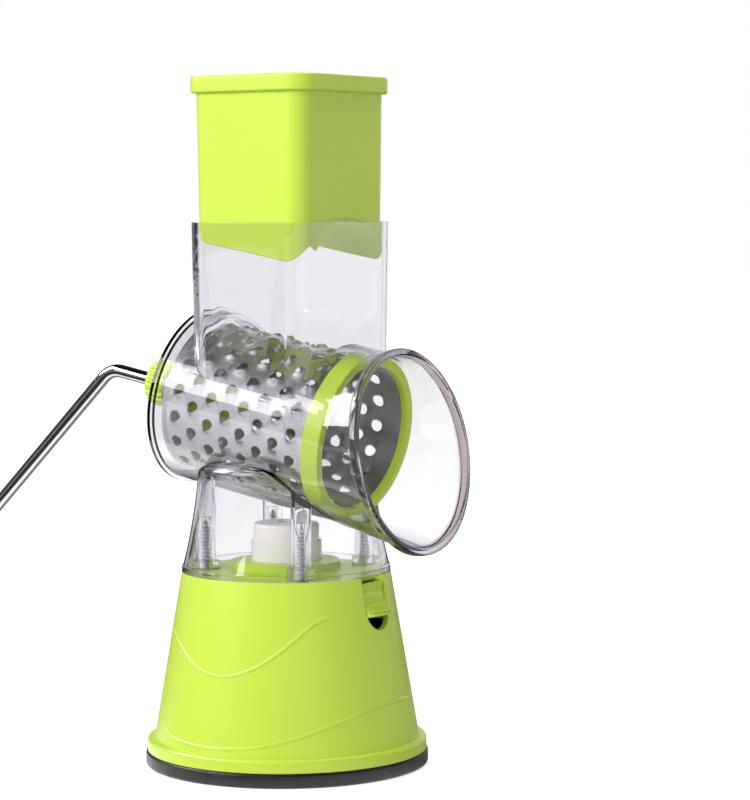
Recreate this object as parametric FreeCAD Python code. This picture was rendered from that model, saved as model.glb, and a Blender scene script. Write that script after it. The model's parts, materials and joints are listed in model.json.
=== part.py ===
import FreeCAD, Part
import math
import os

from FreeCAD import Placement, Rotation, Vector

# Hand cranked rotary shredder on a suction base, in millimetres.
# +Z is up and the origin is the centre of the suction cup's underside. The drum's axis lies in the
# XZ plane, tipped down towards +X, which is the outlet; the crank is at -X.

# ---- General -------------------------------------------------------------------------------------
running_gap = 0.08           # radial clearance of every running fit
moving_gap = 0.3             # between faces that pass each other or meet end on
lap = 0.5                    # how far joined forms run into each other
past = 1.0                   # how far a cut runs past the face that it opens
near = 0.01                  # how closely an edge is picked by its size

# ---- Suction cup and base shell ------------------------------------------------------------------
cup_radius = 62.5            # rubber disc
cup_edge_height = 6.5        # rubber that shows under the foot
cup_thickness = 3.0          # rubber over the vacuum space
cup_dome_height = 8.0        # vacuum space while the cup is pulled up
cup_seal_width = 12.0        # flat ring that seals on the table
cup_flat_radius = 27.0       # flat middle that the stem's disc is bonded to
cup_edge_round = 1.4

foot_inset = 0.7             # the foot stands this far inside the rubber's edge
foot_height = 5.7
foot_ledge = 5.2             # width of the foot that stands on the rubber
foot_round = 1.6
cone_foot_step = 3.3         # from the foot's edge in to the cone
cone_top_radius = 46.1
base_height = 85.5           # flat top that carries the clear body
base_wall = 2.4
top_plate = 2.5
platform_radius = 24.0       # raised middle of the top
platform_height = 4.5

spider_low = 40.0            # underside of the webs that guide the stem
spider_depth = 14.0
spider_web = 2.2
spider_cover = 0.4           # the sleeve's underside reaches this far past the spring

# ---- Suction lift --------------------------------------------------------------------------------
stem_radius = 4.0
disc_margin = 3.0            # the cup's flat middle shows this far round the stem's disc
disc_thickness = 3.0
stem_foot_step = 2.2         # the step on the disc that centres the spring
stem_foot_height = 2.0
spring_wire = 0.8            # radius of the wire
spring_foot_gap = 0.6
spring_turns = 6
thrust_ring_width = 4.5      # the ring on the stem that the lever lifts
thrust_ring_height = 3.0
lift_travel_angle = 10.0     # degrees that the lever turns between locked and released

collar_outer = 15.6
collar_wall = 0.8
collar_floor = 0.8
collar_floor_gap = 1.0       # round the stem
collar_height = 11.2
collar_step = 2.6            # how far the collar's edge drops in its two low sectors
collar_step_turn = -128.6    # degrees, where the first low sector is centred
collar_step_span = 90.0

cap_rest = 0.94              # left between the cap and the collar's floor once released
cap_height = 8.4
cap_wall = 1.8
cap_roof = 3.0
cap_round = 1.6
cap_socket = 3.0             # how deep the stem stands in the cap
cap_boss_wall = 2.5
cap_screw_radius = 1.5
cap_screw_length = 12.0
cap_screw_spare = 2.4        # pilot hole past the screw's end
cap_screw_head = 3.4
cap_screw_head_height = 2.0
cap_screw_head_gap = 0.2
cap_screw_sink = 0.4         # from the cap's top down to the head
drive_length = 4.0           # cross recess in the head
drive_width = 0.8
drive_depth = 0.8

# ---- Lever ---------------------------------------------------------------------------------------
lever_pivot_inset = 9.1      # from the cone's top edge in to the pin
lever_pivot_drop = 9.5       # from the base's top down to the pin
lever_pin_radius = 1.5
lever_hub_radius = 4.2
lever_width = 16.2
lever_side_gap = 0.5
lever_plate = 2.2
lever_inset = 0.6            # how far the tab lies below the cone
lever_top_drop = 2.7         # from the base's top down to the tab's top
lever_lip_drop = 14.5        # from the base's top down to the finger lip
lever_lip_reach = 4.6
lever_lip_thickness = 2.6
lever_lip_round = 0.8
lever_web_inset = 1.5
lever_arm_thickness = 3.0
lever_arm_width = 12.0
lever_arm_clear = 2.0        # from the thrust ring's rim to the full arm
lever_fork_low = 3.2         # the fork's underside and top, below the pin's level
lever_fork_drop = 0.4
lever_fork_lap = 4.0         # how far the fork runs under the arm
lever_fork_margin = 1.0      # the prongs pass the thrust ring's rim by this
lever_fork_reach = 7.0       # how far the prongs pass the stem's axis
lever_fork_gap = 0.6
slot_drop = 23.0             # from the base's top down to the slot's round foot
slot_cut = 5.3               # from the cone's top edge in to the slot's end
cheek_thickness = 2.5
cheek_step = 0.2             # the cheeks stand this far outside the slot's sides
cheek_drop = 10.0            # the cheeks' reach below the pin and behind it
cheek_back = 6.0

# ---- Clear body ----------------------------------------------------------------------------------
clear_wall = 2.1
skirt_rim_height = 2.5
skirt_rim_step = 0.5
skirt_mid_inset = 4.4        # how far the skirt has drawn in from its foot, half way and at the top
skirt_top_inset = 7.5
skirt_mid_rise = 20.5        # heights over the base's top
skirt_shoulder_rise = 44.0
skirt_top_rise = 48.5
boss_inset = 10.32           # from the skirt's foot in to a screw boss's axis
boss_wall = 2.4
boss_foot_step = 1.6
boss_foot_height = 5.0
boss_web = 2.0
body_screw_thread = 1.95
body_screw_core = 1.45
body_screw_pitch = 1.6
body_screw_length = 26.0
body_screw_plain = 3.0       # plain shank under the head
body_screw_point = 2.0
body_screw_spare = 1.0       # pilot hole past the screw's point
body_screw_head = 3.4
body_screw_head_height = 2.2
body_screw_gap = 0.06        # round the thread in its boss
body_screw_hole_gap = 0.3    # round the thread in the base's top

axis_rise = 67.9             # from the base's top up to the drum's axis over the origin
axis_tilt = 10.66            # degrees, down towards the outlet
barrel_radius = 38.5
barrel_back = -43.9          # the back wall's inner face, along the drum's axis
back_wall = 2.0
back_rim_step = 1.6
back_rim_width = 1.6
neck_length = 16.6
neck_wall = 1.3
neck_gusset = 2.0
neck_gusset_reach = 17.0
neck_gusset_start = 4.0      # from the neck's end to the gussets
bush_wall = 2.42
bush_head_step = 1.7
bush_head = 1.2

flare_gap = 0.4              # from the drum's ring to the start of the flare
outlet_length = 24.2         # from there to the mouth's plane, along the drum's axis
outlet_lean = 20.45          # degrees between the mouth's plane and a square cut
outlet_flare = 5.9           # how much wider than the barrel the mouth is, in radius
lip_width = 3.0
lip_depth = 3.6
lip_proud = 0.4              # how far the bead stands outside the mouth
lip_over = 0.6               # and past its plane
lip_round = 1.05

hopper_low_x = -29.0
hopper_high_x = 35.5
hopper_side_inset = 2.0      # the hopper's sides stand this far inside the barrel's
hopper_corner = 11.0
hopper_rise = 85.5           # from the drum's axis up to the rim
hopper_foot_rise = 1.6       # where the hopper's walls start, inside the barrel's
hopper_wall = 2.3
hopper_draft = 0.9           # the hopper is this much smaller each side at its foot

# ---- Drum ----------------------------------------------------------------------------------------
drum_end_gap = 1.7           # from the back wall to the drum
drum_length = 82.4
drum_sheet = 0.7
drum_ring_gap = 0.5          # from the ring to the barrel's bore
drum_ring_thickness = 2.4
drum_ring_width = 9.0
drum_ring_inset = 1.9        # how far the ring's lip closes the drum's mouth
drum_ring_lip = 3.4
drum_ring_round = 0.8
hole_radius = 2.9
hole_pitch = 8.8             # between rings of holes
hole_spacing = 11.5          # least distance round the drum
hole_back_margin = 7.6
hole_front_margin = 5.0
stave_columns = 2            # columns of holes on each stave of the sheet
end_plate_thickness = 0.9
end_plate_skirt = 4.0
hub_flange_radius = 16.0
hub_flange = 2.6
hub_boss_wall = 2.8
hub_length = 15.0
hub_nose = 3.0               # solid end of the hub past the rod
hub_journal_radius = 6.6
nut_wall = 2.0
nut_length = 9.0
nut_floor = 2.0
rivet_radius = 1.5
rivet_head = 2.6
rivet_head_height = 0.9
rivet_count = 3
rivet_turn = 60.0

# ---- Crank ---------------------------------------------------------------------------------------
rod_radius = 3.0
rod_bend = 12.0
crank_offset = 36.5          # from the neck's end to where the shaft's and arm's lines meet
rod_slant = 35.5             # degrees that the arm leans out
crank_reach = 85.0           # from the drum's axis to the grip's axis
rod_tip = 1.0                # the rod shows this far past its clip
knob_radius = 10.4
knob_length = 9.2
knob_round = 1.2
knob_flutes = 20
knob_flute_radius = 1.1
knob_collar_wall = 3.0
knob_collar = 2.5
grip_start_gap = 9.0
grip_length = 60.0
grip_end_radius = 8.2
grip_waist_radius = 9.0
grip_belly_radius = 10.2
grip_waist_share = 0.75      # where along the grip its waist and belly lie
grip_belly_share = 0.3
grip_end_round = 1.4
grip_pocket = 7.0
grip_pocket_wall = 1.8
clip_thickness = 1.0
clip_gap = 0.8
plug_thickness = 2.4
plug_proud = 0.8
plug_round = 0.7

# ---- Pusher --------------------------------------------------------------------------------------
pusher_gap = 0.3             # each side in the hopper's rim when fully down
pusher_draft = 0.95
pusher_wall = 2.2
pusher_rim_height = 7.2
pusher_rim_round = 0.9
pusher_drum_gap = 4.0        # left over the drum when the pusher is fully down
pusher_raise = 55.5          # how far up it stands at rest

# ---- What follows from them ----------------------------------------------------------------------
foot_radius = cup_radius - foot_inset
foot_bottom = cup_edge_height
foot_top = foot_bottom + foot_height
cone_foot_radius = foot_radius - cone_foot_step
platform_top = base_height + platform_height
platform_under = platform_top - top_plate
top_under = base_height - top_plate

stem_bore = stem_radius + running_gap
disc_radius = cup_flat_radius - disc_margin
disc_low = cup_dome_height + cup_thickness
disc_high = disc_low + disc_thickness
stem_foot_radius = stem_radius + stem_foot_step
spring_radius = stem_foot_radius + spring_foot_gap + spring_wire
spider_high = spider_low + spider_depth
spider_sleeve_radius = spring_radius + spring_wire + spider_cover

lever_pivot_x = cone_top_radius - lever_pivot_inset
lever_pivot_z = base_height - lever_pivot_drop
lever_top = base_height - lever_top_drop
lever_lip_z = base_height - lever_lip_drop
arm_height = lever_pivot_z + lever_arm_thickness / 2.0
slot_half = lever_width / 2.0 + lever_side_gap
slot_start = cone_top_radius - slot_cut
slot_round_height = base_height - slot_drop + slot_half
cheek_inner = slot_half + cheek_step
cheek_outer = cheek_inner + cheek_thickness

thrust_ring_outer = stem_radius + thrust_ring_width
thrust_ring_low = arm_height + moving_gap
lift_travel = lever_pivot_x * math.radians(lift_travel_angle)
cap_bottom = platform_top + collar_floor + lift_travel + cap_rest
cap_top = cap_bottom + cap_height
cap_screw_seat = cap_top - cap_screw_head_height
stem_top = cap_bottom + cap_socket

skirt_mid_radius = cone_top_radius - skirt_mid_inset
skirt_top_radius = cone_top_radius - skirt_top_inset
skirt_top = base_height + skirt_top_rise
boss_place = (cone_top_radius - boss_inset) / math.sqrt(2)
boss_bore = body_screw_thread + body_screw_gap
boss_radius = boss_bore + boss_wall
boss_foot_radius = boss_radius + boss_foot_step
body_screw_tip = top_under + body_screw_length

axis_height = base_height + axis_rise
barrel_bore = barrel_radius - clear_wall
back_outer = barrel_back - back_wall
neck_end = back_outer - neck_length
bush_radius = rod_radius + running_gap + bush_wall
bush_head_radius = bush_radius + bush_head_step
neck_radius = bush_head_radius + neck_wall

drum_back = barrel_back + drum_end_gap
drum_front = drum_back + drum_length
drum_ring_radius = barrel_bore - drum_ring_gap
drum_radius = drum_ring_radius - drum_ring_thickness
drum_bore = drum_radius - drum_sheet
drum_ring_opening = drum_radius - drum_ring_inset
ring_front = drum_front + drum_ring_lip
ring_back = ring_front - drum_ring_width
hub_front = drum_back + end_plate_thickness
hub_end = hub_front + hub_length
nut_low = hub_front + nut_floor
nut_corner = 2 * (rod_radius + nut_wall) / math.sqrt(3)
hub_boss_radius = nut_corner + hub_boss_wall
rivet_circle = (hub_boss_radius + hub_flange_radius) / 2.0
rod_inner_end = hub_end - hub_nose

flare_start = ring_front + flare_gap
outlet_place = flare_start + outlet_length
outlet_radius = barrel_radius + outlet_flare

hopper_centre = (hopper_low_x + hopper_high_x) / 2.0
hopper_half_x = (hopper_high_x - hopper_low_x) / 2.0
hopper_half_y = barrel_radius - hopper_side_inset
hopper_foot = axis_height + hopper_foot_rise
hopper_rim = axis_height + hopper_rise

rod_corner = neck_end - crank_offset
grip_corner = rod_corner - crank_reach * math.tan(math.radians(rod_slant))
grip_start = grip_corner - grip_start_gap
grip_end = grip_start - grip_length
grip_pocket_radius = grip_end_radius - grip_pocket_wall
clip_high = grip_end + grip_pocket - moving_gap
clip_low = clip_high - clip_thickness
rod_end = clip_low - rod_tip

origin = Vector(0, 0, 0)
up = Vector(0, 0, 1)
across = Vector(0, 1, 0)

# Local Z is the drum's axis towards the outlet, local X points down and local Y stays.
drum_frame = Placement(Vector(0, 0, axis_height), Rotation(across, 90 + axis_tilt))


def cone_radius(z):
    share = (base_height - z) / (base_height - foot_top)
    return cone_top_radius + share * (cone_foot_radius - cone_top_radius)


def cylinder(radius, low, high, x=0.0, y=0.0):
    return Part.makeCylinder(radius, high - low, Vector(x, y, low))


def cross_cylinder(radius, half_length, x, z):
    """A cylinder along Y, to both sides of Y = 0."""
    return Part.makeCylinder(radius, 2 * half_length, Vector(x, -half_length, z), across)


def tube(outer, inner, low, high):
    return cylinder(outer, low, high).cut(cylinder(inner, low - past, high + past))


def block(low, high):
    size = Vector(*high) - Vector(*low)
    return Part.makeBox(size.x, size.y, size.z, Vector(*low))


def revolved(edges):
    """Turn a closed outline in the XZ plane about Z."""
    face = Part.Face(Part.Wire(Part.__sortEdges__(edges)))
    return face.revolve(origin, up, 360)


def turned(points):
    corners = [Vector(x, 0, z) for x, z in points]
    return revolved([Part.makeLine(a, b) for a, b in zip(corners, corners[1:] + corners[:1])])


def prism(points, half_width):
    """Extrude a closed outline in the XZ plane to both sides of Y = 0."""
    corners = [Vector(x, -half_width, z) for x, z in points]
    face = Part.Face(Part.makePolygon(corners + corners[:1]))
    return face.extrude(Vector(0, 2 * half_width, 0))


def circles(shape, radius=None, above=None, below=None):
    """Circular edges of a shape, picked by radius or by height."""
    found = []
    for edge in shape.Edges:
        if edge.Curve.TypeId != "Part::GeomCircle":
            continue
        if radius is not None and abs(edge.Curve.Radius - radius) > near:
            continue
        if above is not None and edge.BoundBox.ZMin < above - near:
            continue
        if below is not None and edge.BoundBox.ZMax > below + near:
            continue
        found.append(edge)
    return found


def rounded_loop(half_x, half_y, corner, z):
    """The hopper's plan: a rectangle with round corners, centred on the hopper."""
    inner_x = half_x - corner
    inner_y = half_y - corner
    corners = ((inner_x, inner_y), (-inner_x, inner_y), (-inner_x, -inner_y), (inner_x, -inner_y))
    arcs = []
    ends = []
    for quarter, (x, y) in enumerate(corners):
        centre = Vector(hopper_centre + x, y, z)
        points = []
        for step in range(3):
            angle = math.radians(90 * quarter + 45 * step)
            points.append(centre + Vector(corner * math.cos(angle), corner * math.sin(angle), 0))
        arcs.append(Part.Arc(*points).toShape())
        ends.append((points[0], points[2]))
    loop = []
    for quarter in range(4):
        loop.append(arcs[quarter])
        loop.append(Part.makeLine(ends[quarter][1], ends[(quarter + 1) % 4][0]))
    return Part.Wire(loop)


def rounded_prism(inset, low, high, draft_low, draft_high):
    """A drafted prism on the hopper's plan, inset from its outside."""
    loops = []
    for z, draft in ((low, draft_low), (high, draft_high)):
        shrink = inset + draft
        loops.append(rounded_loop(hopper_half_x - shrink, hopper_half_y - shrink,
                                  hopper_corner - inset, z))
    return Part.makeLoft(loops, True, True)


def on_axis(shape):
    moved = shape.copy()
    moved.Placement = drum_frame.multiply(moved.Placement)
    return moved


def at_grip(shape):
    moved = shape.copy()
    moved.translate(Vector(crank_reach, 0, 0))
    return on_axis(moved)


def save(name, shape):
    solids = shape.Solids
    whole = solids[0] if len(solids) == 1 else Part.makeCompound(solids)
    whole.exportStep("parts/%s.step" % name)
    box = whole.BoundBox
    print("%-16s %2d solids valid %s  x %.1f %.1f  y %.1f %.1f  z %.1f %.1f" % (
        name, len(solids), whole.isValid(), box.XMin, box.XMax, box.YMin, box.YMax, box.ZMin, box.ZMax))


# ---- Base ----------------------------------------------------------------------------------------
def suction_cup():
    seal_inner = cup_radius - cup_seal_width
    ledge_inner = foot_radius - foot_ledge
    cup = turned([
        (0, cup_dome_height), (cup_flat_radius, cup_dome_height), (seal_inner, 0.0),
        (cup_radius, 0.0), (cup_radius, cup_edge_height), (ledge_inner, cup_edge_height),
        (cup_flat_radius, disc_low), (0, disc_low),
    ])
    return cup.makeFillet(cup_edge_round, circles(cup, radius=cup_radius))


def lever_slot():
    """The opening in the base's wall, open at the top and round at the bottom."""
    reach = foot_radius - slot_start
    opening = block((slot_start, -slot_half, slot_round_height),
                    (foot_radius, slot_half, base_height + past))
    foot = Part.makeCylinder(slot_half, reach, Vector(slot_start, 0, slot_round_height), Vector(1, 0, 0))
    return opening.fuse(foot)


def wall_inside(low, high):
    """The space inside the cone, run a lap into its wall."""
    return turned([(0, low), (cone_radius(low) - lap, low), (cone_radius(high) - lap, high), (0, high)])


def spider():
    """Sleeve and webs that guide the stem and take the spring's thrust."""
    reach = cone_radius(spider_low)
    half = spider_web / 2.0
    sleeve = cylinder(spider_sleeve_radius, spider_low, spider_high)
    web_x = block((-reach, -half, spider_low), (reach, half, spider_high))
    web_y = block((-half, -reach, spider_low), (half, reach, spider_high))
    return sleeve.fuse(web_x).fuse(web_y).common(wall_inside(spider_low, spider_high))


def lever_cheeks():
    """Two plates under the top that carry the lever's pin."""
    low = lever_pivot_z - cheek_drop
    high = top_under + lap
    cheeks = []
    for near_y, far_y in ((cheek_inner, cheek_outer), (-cheek_outer, -cheek_inner)):
        cheek = block((lever_pivot_x - cheek_back, near_y, low), (foot_radius, far_y, high))
        cheeks.append(cheek.common(wall_inside(low, high)))
    return cheeks


def base_shell():
    outer = turned([
        (0, foot_bottom), (foot_radius, foot_bottom), (foot_radius, foot_top),
        (cone_foot_radius, foot_top), (cone_top_radius, base_height), (platform_radius, base_height),
        (platform_radius, platform_top), (0, platform_top),
    ])
    outer = outer.makeFillet(foot_round, circles(outer, radius=foot_radius, above=foot_top))
    inner_foot = foot_radius - foot_ledge
    step = platform_radius - top_plate
    hollow = turned([
        (0, foot_bottom - past), (inner_foot, foot_bottom - past), (inner_foot, foot_bottom),
        (cone_radius(foot_top) - base_wall, foot_top), (cone_radius(top_under) - base_wall, top_under),
        (step, top_under), (step, platform_under), (0, platform_under),
    ])
    shell = outer.cut(hollow).multiFuse([spider()] + lever_cheeks())
    shell = shell.cut(lever_slot())
    shell = shell.cut(cross_cylinder(lever_pin_radius, cheek_outer + past, lever_pivot_x, lever_pivot_z))
    shell = shell.cut(cylinder(stem_bore, spider_low - past, platform_top + past))
    for x, y in screw_places():
        shell = shell.cut(cylinder(body_screw_thread + body_screw_hole_gap, top_under - past,
                                   base_height + past, x, y))
    return shell.removeSplitter()


def screw_places():
    return [(x, y) for x in (-boss_place, boss_place) for y in (-boss_place, boss_place)]


def cup_stem():
    disc = cylinder(disc_radius, disc_low, disc_high)
    foot = cylinder(stem_foot_radius, disc_high, disc_high + stem_foot_height)
    stem = cylinder(stem_radius, disc_high, stem_top)
    pilot_low = cap_screw_seat - cap_screw_length - cap_screw_spare
    pilot = cylinder(cap_screw_radius, pilot_low, stem_top + past)
    return disc.fuse(foot).fuse(stem).cut(pilot).removeSplitter()


def cup_spring():
    low = disc_high + moving_gap + spring_wire
    high = spider_low - moving_gap - spring_wire
    path = Part.makeHelix((high - low) / spring_turns, high - low, spring_radius)
    path.translate(Vector(0, 0, low))
    section = Part.Wire([Part.makeCircle(spring_wire, Vector(spring_radius, 0, low), across)])
    return Part.Wire(path).makePipeShell([section], True, True)


def thrust_ring():
    return tube(thrust_ring_outer, stem_radius, thrust_ring_low, thrust_ring_low + thrust_ring_height)


def guide_collar():
    high = platform_top + collar_height
    inner = collar_outer - collar_wall
    sleeve = tube(collar_outer, inner, platform_top, high)
    floor = tube(collar_outer, stem_bore + collar_floor_gap, platform_top, platform_top + collar_floor)
    collar = sleeve.fuse(floor)
    for turn in (0, 180):
        sector = Part.makeCylinder(collar_outer + past, collar_step + past,
                                   Vector(0, 0, high - collar_step), up, collar_step_span)
        sector.rotate(origin, up, collar_step_turn - collar_step_span / 2.0 + turn)
        collar = collar.cut(sector)
    return collar.removeSplitter()


def lift_cap():
    radius = collar_outer - collar_wall - moving_gap
    cap = cylinder(radius, cap_bottom, cap_top)
    cap = cap.makeFillet(cap_round, circles(cap, above=cap_top))
    hollow = cylinder(radius - cap_wall, cap_bottom - past, cap_top - cap_roof)
    boss = cylinder(stem_radius + cap_boss_wall, cap_bottom - past, cap_top)
    cap = cap.cut(hollow.cut(boss))
    cap = cap.cut(cylinder(stem_radius, cap_bottom - past, stem_top))
    cap = cap.cut(cylinder(cap_screw_radius, cap_bottom, cap_top))
    return cap.cut(cylinder(cap_screw_head + cap_screw_head_gap, cap_screw_seat, cap_top + past))


def cap_screw():
    top = cap_top - cap_screw_sink
    head = cylinder(cap_screw_head, cap_screw_seat, top)
    shank = cylinder(cap_screw_radius, cap_screw_seat - cap_screw_length, cap_screw_seat)
    screw = head.fuse(shank)
    for half_x, half_y in ((drive_length / 2, drive_width / 2), (drive_width / 2, drive_length / 2)):
        screw = screw.cut(block((-half_x, -half_y, top - drive_depth), (half_x, half_y, top + past)))
    return screw.removeSplitter()


# ---- Lever ---------------------------------------------------------------------------------------
def tab_face(z):
    return cone_radius(z) - lever_inset


def lever_tab():
    """The plate that fills the slot, with the lip that a finger lifts."""
    lip_low = lever_lip_z - lever_lip_thickness
    lip_end = tab_face(lever_lip_z) + lever_lip_reach
    tab = prism([
        (tab_face(lever_top) - lever_plate, lever_top), (tab_face(lever_top), lever_top),
        (tab_face(lever_lip_z), lever_lip_z), (lip_end, lever_lip_z), (lip_end, lip_low),
        (tab_face(lever_lip_z) - lever_plate, lip_low),
    ], lever_width / 2.0)
    nose = [e for e in tab.Edges if e.BoundBox.XMin > lip_end - near and e.BoundBox.ZLength < near]
    return tab.makeFillet(lever_lip_round, nose)


def lever_fork():
    """Two prongs beside the stem, with nibs that lift the thrust ring."""
    half = thrust_ring_outer + lever_fork_margin
    fork = block((-lever_fork_reach, -half, lever_pivot_z - lever_fork_low),
                 (thrust_ring_outer + lever_arm_clear + lever_fork_lap, half,
                  lever_pivot_z - lever_fork_drop))
    fork = fork.fuse(cross_cylinder(lever_arm_thickness / 2.0, half, 0, lever_pivot_z))
    gap = stem_radius + lever_fork_gap
    low = lever_pivot_z - lever_fork_low - past
    high = arm_height + past
    throat = block((-lever_fork_reach - past, -gap, low), (0, gap, high)).fuse(cylinder(gap, low, high))
    return fork.cut(throat)


def suction_lever():
    half = lever_width / 2.0
    half_arm = lever_arm_thickness / 2.0
    half_web = half - lever_web_inset
    hub = cross_cylinder(lever_hub_radius, half, lever_pivot_x, lever_pivot_z)
    web = block((lever_pivot_x, -half_web, lever_pivot_z - half_arm),
                (tab_face(lever_pivot_z) - lap, half_web, arm_height))
    arm = block((thrust_ring_outer + lever_arm_clear, -lever_arm_width / 2.0, lever_pivot_z - half_arm),
                (lever_pivot_x, lever_arm_width / 2.0, arm_height))
    lever = lever_tab().multiFuse([hub, web, arm, lever_fork()])
    bore = cross_cylinder(lever_pin_radius + running_gap, half + past, lever_pivot_x, lever_pivot_z)
    return lever.cut(bore).removeSplitter()


def lever_pin():
    return cross_cylinder(lever_pin_radius, cheek_outer, lever_pivot_x, lever_pivot_z)


# ---- Clear body ----------------------------------------------------------------------------------
def skirt_solid(inset):
    """The skirt as a solid of revolution, inset from its outside."""
    foot = Vector(cone_top_radius - skirt_rim_step - inset, 0, base_height + skirt_rim_height)
    middle = Vector(skirt_mid_radius - inset, 0, base_height + skirt_mid_rise)
    shoulder = Vector(skirt_top_radius - inset, 0, base_height + skirt_shoulder_rise)
    bend = skirt_top - shoulder.z - inset
    turn = bend * math.sqrt(0.5)
    corner = Vector(shoulder.x - bend + turn, 0, shoulder.z + turn)
    crown = Vector(shoulder.x - bend, 0, shoulder.z + bend)
    low = Vector(foot.x, 0, base_height)
    low_centre = Vector(0, 0, base_height)
    high_centre = Vector(0, 0, crown.z)
    return revolved([
        Part.makeLine(low_centre, low), Part.makeLine(low, foot),
        Part.Arc(foot, middle, shoulder).toShape(), Part.Arc(shoulder, corner, crown).toShape(),
        Part.makeLine(crown, high_centre), Part.makeLine(high_centre, low_centre),
    ])


def flare_solid(inset):
    """The outlet between the barrel and the leaning mouth, in the drum's own frame."""
    start = Part.Wire([Part.makeCircle(barrel_radius - inset, Vector(0, 0, flare_start), up)])
    mouth = Part.Wire([Part.makeCircle(outlet_radius - inset, origin, up)])
    mouth.rotate(origin, across, -outlet_lean)
    mouth.translate(Vector(0, 0, outlet_place))
    return Part.makeLoft([start, mouth], True, True)


def outlet_lip():
    """A rounded bead round the mouth, in the drum's own frame."""
    bead = tube(outlet_radius + lip_proud, outlet_radius - lip_width, -lip_depth, lip_over)
    bead = bead.makeFillet(lip_round, circles(bead))
    bead.rotate(origin, across, -outlet_lean)
    bead.translate(Vector(0, 0, outlet_place))
    return bead


def body_bosses():
    posts = []
    for x, y in screw_places():
        post = cylinder(boss_radius, base_height, skirt_top, x, y)
        foot = cylinder(boss_foot_radius, base_height, base_height + boss_foot_height, x, y)
        web = block((0, -boss_web / 2.0, base_height), (cone_top_radius, boss_web / 2.0, skirt_top))
        web.rotate(origin, up, math.degrees(math.atan2(y, x)))
        inner = cylinder(math.hypot(x, y), base_height - past, skirt_top + past)
        posts.append(post.fuse(foot).fuse(web.cut(inner)))
    return posts


def neck_gussets():
    gussets = []
    for turn in range(4):
        gusset = prism([(0, back_outer + lap), (0, neck_end + neck_gusset_start),
                        (neck_radius, neck_end + neck_gusset_start),
                        (neck_gusset_reach, back_outer + lap)], neck_gusset / 2.0)
        gusset.rotate(origin, up, 45 + 90 * turn)
        gussets.append(on_axis(gusset))
    return gussets


def clear_body():
    barrel = on_axis(cylinder(barrel_radius, back_outer, flare_start))
    flare = on_axis(flare_solid(0))
    skirt_rim = cylinder(cone_top_radius, base_height, base_height + skirt_rim_height)
    body = skirt_solid(0).multiFuse([
        skirt_rim, barrel, flare,
        on_axis(cylinder(barrel_radius + back_rim_step, back_outer, back_outer + back_rim_width)),
        on_axis(cylinder(neck_radius, neck_end, back_outer + lap)),
        rounded_prism(0, hopper_foot, hopper_rim, hopper_draft, 0),
    ] + neck_gussets())

    under = skirt_solid(clear_wall)
    for post in body_bosses():
        under = under.cut(post)
    under = under.cut(barrel.fuse(flare))
    body = body.cut(under)
    body = body.cut(on_axis(cylinder(barrel_bore, barrel_back, flare_start + near)))
    body = body.cut(on_axis(flare_solid(clear_wall)))
    body = body.cut(rounded_prism(hopper_wall, hopper_foot, hopper_rim, hopper_draft, 0))
    body = body.cut(rounded_prism(hopper_wall, hopper_rim, hopper_rim + past, 0, 0))
    body = body.fuse(on_axis(outlet_lip()))
    body = body.cut(on_axis(cylinder(bush_radius, neck_end - past, barrel_back + past)))
    body = body.cut(on_axis(cylinder(bush_head_radius, neck_end - past, neck_end + bush_head)))
    for x, y in screw_places():
        body = body.cut(cylinder(boss_bore, base_height - past, body_screw_tip + body_screw_spare, x, y))
    return body.removeSplitter()


def body_screws():
    head_low = top_under - body_screw_head_height
    points = [(0, head_low), (body_screw_head * 0.7, head_low),
              (body_screw_head, top_under - body_screw_head_height * 0.45),
              (body_screw_head, top_under), (body_screw_core, top_under)]
    z = top_under + body_screw_plain
    while z + body_screw_pitch < body_screw_tip - body_screw_point:
        points.append((body_screw_core, z))
        points.append((body_screw_thread, z + body_screw_pitch * 0.4))
        points.append((body_screw_core, z + body_screw_pitch * 0.8))
        z += body_screw_pitch
    points += [(body_screw_core, body_screw_tip - body_screw_point), (0, body_screw_tip)]
    screw = turned(points)
    copies = []
    for x, y in screw_places():
        copy = screw.copy()
        copy.translate(Vector(x, y, 0))
        copies.append(copy)
    return Part.makeCompound(copies)


def neck_bush():
    bore = rod_radius + running_gap
    sleeve = tube(bush_radius, bore, neck_end, barrel_back)
    head = tube(bush_head_radius, bore, neck_end, neck_end + bush_head)
    return on_axis(sleeve.fuse(head).removeSplitter())


# ---- Drum ----------------------------------------------------------------------------------------
def drum_shell():
    """Sheet rolled round, with staggered rings of punched holes, in staves that meet face to face."""
    rings = int((ring_back - drum_back - hole_back_margin - hole_front_margin) / hole_pitch) + 1
    around = int(2 * math.pi * drum_radius / hole_spacing)
    holes = []
    for ring in range(rings):
        z = drum_back + hole_back_margin + ring * hole_pitch
        for step in range(around):
            angle = math.radians((step + 0.5 * (ring % 2)) * 360.0 / around)
            way = Vector(math.cos(angle), math.sin(angle), 0)
            start = way * (drum_bore - past) + Vector(0, 0, z)
            holes.append(Part.makeCylinder(hole_radius, drum_sheet + 2 * past, start, way))
    shell = tube(drum_radius, drum_bore, drum_back, drum_front).cut(Part.makeCompound(holes))
    column = 360.0 / around
    staves = []
    for first in range(0, around, stave_columns):
        span = min(stave_columns, around - first) * column
        sector = Part.makeCylinder(drum_radius + past, drum_length + 2 * past,
                                   Vector(0, 0, drum_back - past), up, span)
        sector.rotate(origin, up, (first - 0.5) * column)
        staves.append(shell.common(sector))
    return on_axis(Part.makeCompound(staves))


def drum_ring():
    ring = turned([
        (drum_radius, ring_back), (drum_ring_radius, ring_back), (drum_ring_radius, ring_front),
        (drum_ring_opening, ring_front), (drum_ring_opening, drum_front), (drum_radius, drum_front),
    ])
    return on_axis(ring.makeFillet(drum_ring_round, circles(ring, above=ring_front)))


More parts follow.
